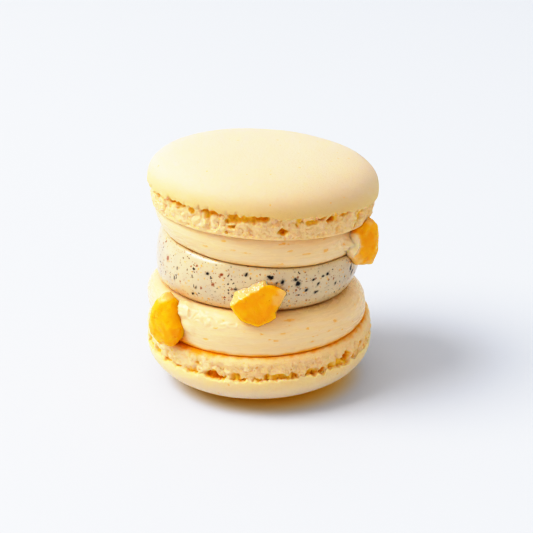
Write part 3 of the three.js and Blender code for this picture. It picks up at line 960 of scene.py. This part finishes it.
def speckled_material(name, colours):
    """Glossy ivory cream with black, brown and rust specks, a few dark smears, and painted crevice
    shade in syrup orange where it curves under to the cream below.
    """
    material, tree, shader, place = new_material(
        name, 0.3, 0.6, (1.2 * MM, 0.9 * MM, 0.6 * MM), coat=0.7)
    patches = placed_group(tree, "Grain", Vector=place, Grain_size=2.2 * MM, Patch_size=4.5 * MM)
    colour = mix_colours(
        tree, step_between(tree, patches.outputs["Patch"], 0.35, 0.7),
        colours.ivory, tinted(colours.ivory, (0.9, 0.9, 0.95)))
    kinds = (
        (1.1, 0.26, 0.4, colours.speck, 0.9, 0.3),
        (0.7, 0.30, 0.3, colours.speck, 0.8, 5.2),
        (0.85, 0.32, 0.5, colours.rust, 0.85, 8.8),
        (0.65, 0.36, 0.45, colours.zest, 0.75, 12.4),
        (0.4, 0.4, 0.35, colours.rust, 0.55, 17.9),
    )
    crowd = step_between(tree, patches.outputs["Height"], 0.38, 0.55)
    for cell, size, share, tint, strength, seed in kinds:
        spots = placed_group(
            tree, "Specks", Vector=place, Cell=cell * MM, Size=size, Share=share, Ragged=0.9,
            Seed=seed)
        mask = product(tree, spots.outputs["Mask"], strength)
        mask = product(tree, mask, calculate(tree, "MULTIPLY_ADD", crowd, 0.5, 0.5))
        colour = mix_colours(tree, mask, colour, tint)
    colour = mix_colours(tree, attribute(tree, "zest"), colour, colours.rust)
    # Painted crevice shade in syrup orange where the cream curves under.
    painted_crevice_shade = product(tree, attribute(tree, "painted_crevice_shade"), 0.7)
    colour = mix_colours(tree, painted_crevice_shade, colour, colours.syrup)
    colour = mix_colours(tree, attribute(tree, "dark"), colour, colours.speck)
    feed(tree, shader, Base_Color=colour, Coat_Roughness=0.15)
    marks = placed_group(tree, "Drag marks", Vector=place, Length=5 * MM, Width=0.8 * MM)
    add_bump(tree, shader, marks.outputs["Streaks"], 0.05 * MM)
    return material


def peel_material(name, colours):
    """Translucent candied peel, wet where it is orange and grainy where it is sugared."""
    material, tree, shader, place = new_material(
        name, 0.25, 1.0, (1.5 * MM, 1.1 * MM, 0.4 * MM), coat=0.6)
    sugar = attribute(tree, "sugar")
    pale = attribute(tree, "pale")
    flesh = placed_group(tree, "Grain", Vector=place, Grain_size=0.3 * MM, Patch_size=2.2 * MM)
    crystals = placed_group(
        tree, "Specks", Vector=place, Cell=0.36 * MM, Size=0.55, Share=0.45, Ragged=0.4, Seed=2.2)
    orange = mix_colours(
        tree, step_between(tree, flesh.outputs["Patch"], 0.35, 0.65),
        colours.peel, tinted(colours.peel, (1.0, 1.12, 1.5)))
    frosted = mix_colours(
        tree, product(tree, crystals.outputs["Mask"], 0.9),
        colours.pith, (1.0, 0.93, 0.8))
    colour = mix_colours(tree, pale, orange, colours.pith)
    colour = mix_colours(tree, sugar, colour, frosted)
    colour = mix_colours(tree, attribute(tree, "smear"), colour, colours.cream)
    rough = calculate(tree, "MULTIPLY_ADD", sugar, 0.2, 0.22)
    feed(
        tree, shader, Base_Color=colour, Roughness=rough, Coat_Roughness=0.08,
        Specular_IOR_Level=0.3)
    rise = calculate(tree, "MULTIPLY_ADD", sugar, 2.5, 1.5)
    drops = placed_group(
        tree, "Specks", Vector=place, Cell=1.2 * MM, Size=0.36, Share=0.4, Ragged=0.4, Seed=6.4)
    grains = product(tree, flesh.outputs["Height"], rise)
    height = calculate(tree, "MULTIPLY_ADD", drops.outputs["Mask"], 2.5, grains)
    add_bump(tree, shader, height, 0.06 * MM)
    return material


def floor_material(colours):
    """A plain floor with a painted pool of warm light under the macaron, in its colour and in a
    faint glow of its own, for light that comes through and off the shell.
    """
    material, tree, shader, place = new_material("studio_floor", 0.6, 0.0, (1.0, 1.0, 1.0))
    cloud = add_node(tree, "ShaderNodeTexNoise", Vector=place, Scale=3.0, Detail=1.0)
    tone = mix_colours(
        tree, cloud.outputs["Fac"], colours.floor, tinted(colours.floor, (0.99, 0.99, 0.99)))
    # Painted light: a warm pool on the floor round the shell, in its colour and as a faint glow.
    moved = add_vector_node(tree, "SUBTRACT", i0=place, i1=PAINTED_GLOW_MIDDLE)
    away = add_node(tree, "ShaderNodeVectorMath", {"operation": "LENGTH"}, i0=moved)
    painted_glow = step_between(tree, away.outputs["Value"], *PAINTED_GLOW_EDGES)
    tone = mix_colours(tree, painted_glow, tone, colours.painted_glow)
    # The painted glow: emission that stands for light through and off the shell.
    painted_glow_emission = mix_colours(tree, painted_glow, (0.0, 0.0, 0.0), tinted(colours.painted_glow, PAINTED_GLOW_LIGHT))
    feed(tree, shader, Base_Color=tone, Emission_Color=painted_glow_emission, Emission_Strength=1.0)
    return material


class MACARON_OT_shells(bpy.types.Operator):
    """Builds the two shells"""

    bl_idname = "macaron.shells"
    bl_label = "Shells"

    def execute(self, context):
        for name in SHELLS:
            build_piece(context.scene, name, shell_skin, shell_material)
        return {"FINISHED"}


class MACARON_OT_creams(bpy.types.Operator):
    """Builds the three creams"""

    bl_idname = "macaron.creams"
    bl_label = "Creams"

    def execute(self, context):
        for name in CREAMS:
            material = speckled_material if name == "cream_middle" else cream_material
            build_piece(context.scene, name, cream_skin, material)
        return {"FINISHED"}


class MACARON_OT_peel(bpy.types.Operator):
    """Builds the three dice of candied peel"""

    bl_idname = "macaron.peel"
    bl_label = "Peel"

    def execute(self, context):
        for name in PEELS:
            build_piece(context.scene, name, peel_skin, peel_material)
        return {"FINISHED"}


class MACARON_OT_studio(bpy.types.Operator):
    """Adds the floor, the lights and the camera"""

    bl_idname = "macaron.studio"
    bl_label = "Studio"

    def execute(self, context):
        scene = context.scene
        studio = scene.macaron_studio
        add_floor(scene)
        add_light(scene, "key_light", KEY_PLACE, KEY_SIZE, studio.key, (1.0, 1.0, 1.0))
        add_light(scene, "top_light", TOP_PLACE, TOP_SIZE, studio.top, (0.97, 0.985, 1.0))
        add_sky(scene, studio.zenith, studio.horizon)
        add_camera(scene, studio)
        return {"FINISHED"}


def add_floor(scene):
    skin = bmesh.new()
    bmesh.ops.create_grid(skin, x_segments=2, y_segments=2, size=FLOOR_SIZE / 2)
    mesh = bpy.data.meshes.new("floor")
    skin.to_mesh(mesh)
    skin.free()
    mesh.materials.append(floor_material(scene.macaron_colours))
    floor = bpy.data.objects.new("floor", mesh)
    scene.collection.objects.link(floor)


def add_light(scene, name, place, size, power, colour):
    light = bpy.data.lights.new(name, "AREA")
    light.shape = "DISK"
    light.size = size
    light.energy = power
    light.color = colour
    lamp = bpy.data.objects.new(name, light)
    lamp.location = place
    lamp.rotation_euler = (LOOK_AT - lamp.location).to_track_quat("-Z", "Y").to_euler()
    scene.collection.objects.link(lamp)


def add_sky(scene, zenith, horizon):
    """An even pale sky that grows brighter towards the horizon, as white walls would be."""
    world = bpy.data.worlds.new("studio_sky")
    world.use_nodes = True
    tree = world.node_tree
    background = tree.nodes["Background"]
    direction = add_node(tree, "ShaderNodeTexCoord").outputs["Generated"]
    level = add_node(tree, "ShaderNodeSeparateXYZ", Vector=direction).outputs["Z"]
    low = calculate(tree, "POWER", calculate(tree, "SUBTRACT", 1.0, level, clamp=True), 2.0)
    strength = calculate(tree, "MULTIPLY_ADD", low, horizon - zenith, zenith)
    feed(tree, background, Color=SKY_COLOUR, Strength=strength)
    scene.world = world


def add_camera(scene, studio):
    data = bpy.data.cameras.new("camera")
    data.lens = FOCAL_LENGTH
    data.clip_start = 10 * MM
    camera = bpy.data.objects.new("camera", data)
    back = Vector((0.0, -math.cos(studio.elevation), math.sin(studio.elevation)))
    camera.location = LOOK_AT + back * studio.distance
    camera.rotation_euler = Euler((math.pi / 2 - studio.elevation, 0.0, 0.0))
    scene.collection.objects.link(camera)
    scene.camera = camera
    add_film_response(scene)


def add_film_response(scene):
    """The soft toe and shoulder of a camera's own tone curve, over Blender's plain transform."""
    scene.view_settings.view_transform = "Standard"
    scene.view_settings.use_curve_mapping = True
    mapping = scene.view_settings.curve_mapping
    mapping.clip_max_x = FILM_RESPONSE[-1][0]
    mapping.extend = "HORIZONTAL"
    for channel in mapping.curves[:3]:
        channel.points[0].location = FILM_RESPONSE[0]
        channel.points[1].location = FILM_RESPONSE[-1]
        for given, shown in FILM_RESPONSE[1:-1]:
            channel.points.new(given, shown)
    mapping.update()


class MACARON_PT_panel(bpy.types.Panel):
    """Lists the steps that build the macaron"""

    bl_idname = "MACARON_PT_panel"
    bl_label = "Macaron"
    bl_space_type = "VIEW_3D"
    bl_region_type = "UI"
    bl_category = "Macaron"

    def draw(self, context):
        for step in STEPS:
            self.layout.operator(step.bl_idname)


STEPS = (MACARON_OT_shells, MACARON_OT_creams, MACARON_OT_peel, MACARON_OT_studio)
GROUPS = {
    "macaron_sizes": MacaronSizes,
    "macaron_colours": MacaronColours,
    "macaron_studio": MacaronStudio,
}


def register():
    for group in GROUPS.values():
        bpy.utils.register_class(group)
    for step in (*STEPS, MACARON_PT_panel):
        bpy.utils.register_class(step)
    for name, group in GROUPS.items():
        setattr(bpy.types.Scene, name, PointerProperty(type=group))


def unregister():
    for name in GROUPS:
        delattr(bpy.types.Scene, name)
    for step in (MACARON_PT_panel, *reversed(STEPS)):
        bpy.utils.unregister_class(step)
    for group in GROUPS.values():
        bpy.utils.unregister_class(group)


def main():
    register()
    bpy.ops.macaron.shells()
    bpy.ops.macaron.creams()
    bpy.ops.macaron.peel()
    bpy.ops.macaron.studio()
    bpy.context.view_layer.update()


if __name__ == "__main__":
    main()
